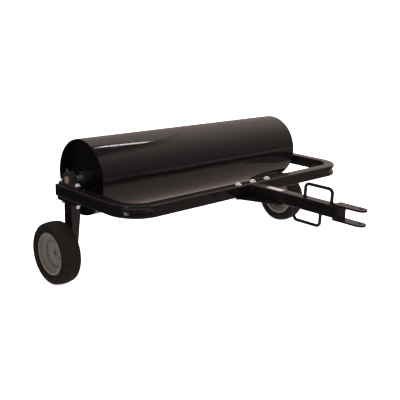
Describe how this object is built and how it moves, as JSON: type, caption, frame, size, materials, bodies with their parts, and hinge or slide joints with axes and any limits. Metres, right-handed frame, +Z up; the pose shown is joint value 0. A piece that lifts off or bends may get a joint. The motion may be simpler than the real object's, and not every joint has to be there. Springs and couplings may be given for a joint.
{
  "type": "lawn roller",
  "caption": "Tow-behind steel lawn roller with a wide smooth drum in a bent square-tube frame, clevis tongue and flip-over transport wheels.",
  "frame": {"origin": "on the ground below the middle of the machine, standing on its transport wheels", "axes": "+X to the machine's right along the drum's axle, -Y forward along the tongue, +Z up"},
  "size_m": [1.944, 1.4479, 0.7504],
  "materials": {
    "black_paint": "gloss",
    "black_casting": "painted, satin",
    "bare_steel": "machined",
    "zinc": "bright zinc plate",
    "yellow_zinc": "yellow chromate on zinc",
    "bronze": "oil-soaked sintered",
    "black_plastic": "matte",
    "black_rubber": "matte",
    "tyre_rubber": "matte",
    "silver_paint": "satin silver"
  },
  "bodies": {
    "frame": {"frame_tube": "black_paint", "wheel_leg_left": "black_paint", "wheel_leg_right": "black_paint", "leg_top_plate_left": "black_paint", "leg_top_plate_right": "black_paint", "tongue_tube": "black_paint", "tongue_end_plate": "black_paint", "clevis_ear_upper": "black_paint", "clevis_ear_lower": "black_paint", "hitch_plate": "black_paint", "tongue_loop_upper": "black_paint", "tongue_loop_lower": "black_paint", "bearing_housing_left": "black_casting", "bearing_housing_right": "black_casting", "wheel_axle_left": "bare_steel", "wheel_axle_right": "bare_steel", "bearing_outer_ring_left": "bare_steel", "bearing_outer_ring_right": "bare_steel", "bearing_balls_left": "bare_steel", "bearing_balls_right": "bare_steel", "bearing_bolts_left": "zinc", "bearing_bolts_right": "zinc", "bearing_nuts_left": "zinc", "bearing_nuts_right": "zinc", "bearing_bolt_washers": "zinc", "hitch_bolts": "zinc", "hitch_nuts": "zinc", "hitch_washers": "zinc", "grease_fittings": "zinc", "axle_nut_left": "zinc", "axle_nut_right": "zinc", "axle_washer_left": "zinc", "axle_washer_right": "zinc", "axle_retaining_ring_left": "zinc", "axle_retaining_ring_right": "zinc", "bearing_shields_left": "yellow_zinc", "bearing_shields_right": "yellow_zinc", "frame_end_cap_left": "black_plastic", "frame_end_cap_right": "black_plastic"},
    "drum": {"drum_shell": "black_paint", "drum_end_plate_left": "black_paint", "drum_end_plate_right": "black_paint", "drum_hub_left": "black_paint", "drum_hub_right": "black_paint", "drum_shaft": "bare_steel", "drum_fill_bung": "black_paint", "drum_fill_plug": "zinc", "bearing_inner_ring_left": "bare_steel", "bearing_inner_ring_right": "bare_steel", "bearing_set_screws": "bare_steel"},
    "left_wheel": {"wheel_tyre_left": "tyre_rubber", "wheel_rim_left": "silver_paint", "wheel_hub_left": "silver_paint", "wheel_bushes_left": "bronze", "valve_stem_left": "black_rubber"},
    "right_wheel": {"wheel_tyre_right": "tyre_rubber", "wheel_rim_right": "silver_paint", "wheel_hub_right": "silver_paint", "wheel_bushes_right": "bronze", "valve_stem_right": "black_rubber"}
  },
  "joints": [
    {"name": "drum_spin", "type": "hinge", "parent": "frame", "child": "drum", "pos_m": [0, 0.52077, 0.5475], "axis": [1, 0, 0], "continuous": true},
    {"name": "left_wheel_spin", "type": "hinge", "parent": "frame", "child": "left_wheel", "pos_m": [-0.919, 0.52077, 0.1675], "axis": [1, 0, 0], "continuous": true},
    {"name": "right_wheel_spin", "type": "hinge", "parent": "frame", "child": "right_wheel", "pos_m": [0.919, 0.52077, 0.1675], "axis": [1, 0, 0], "continuous": true}
  ]
}
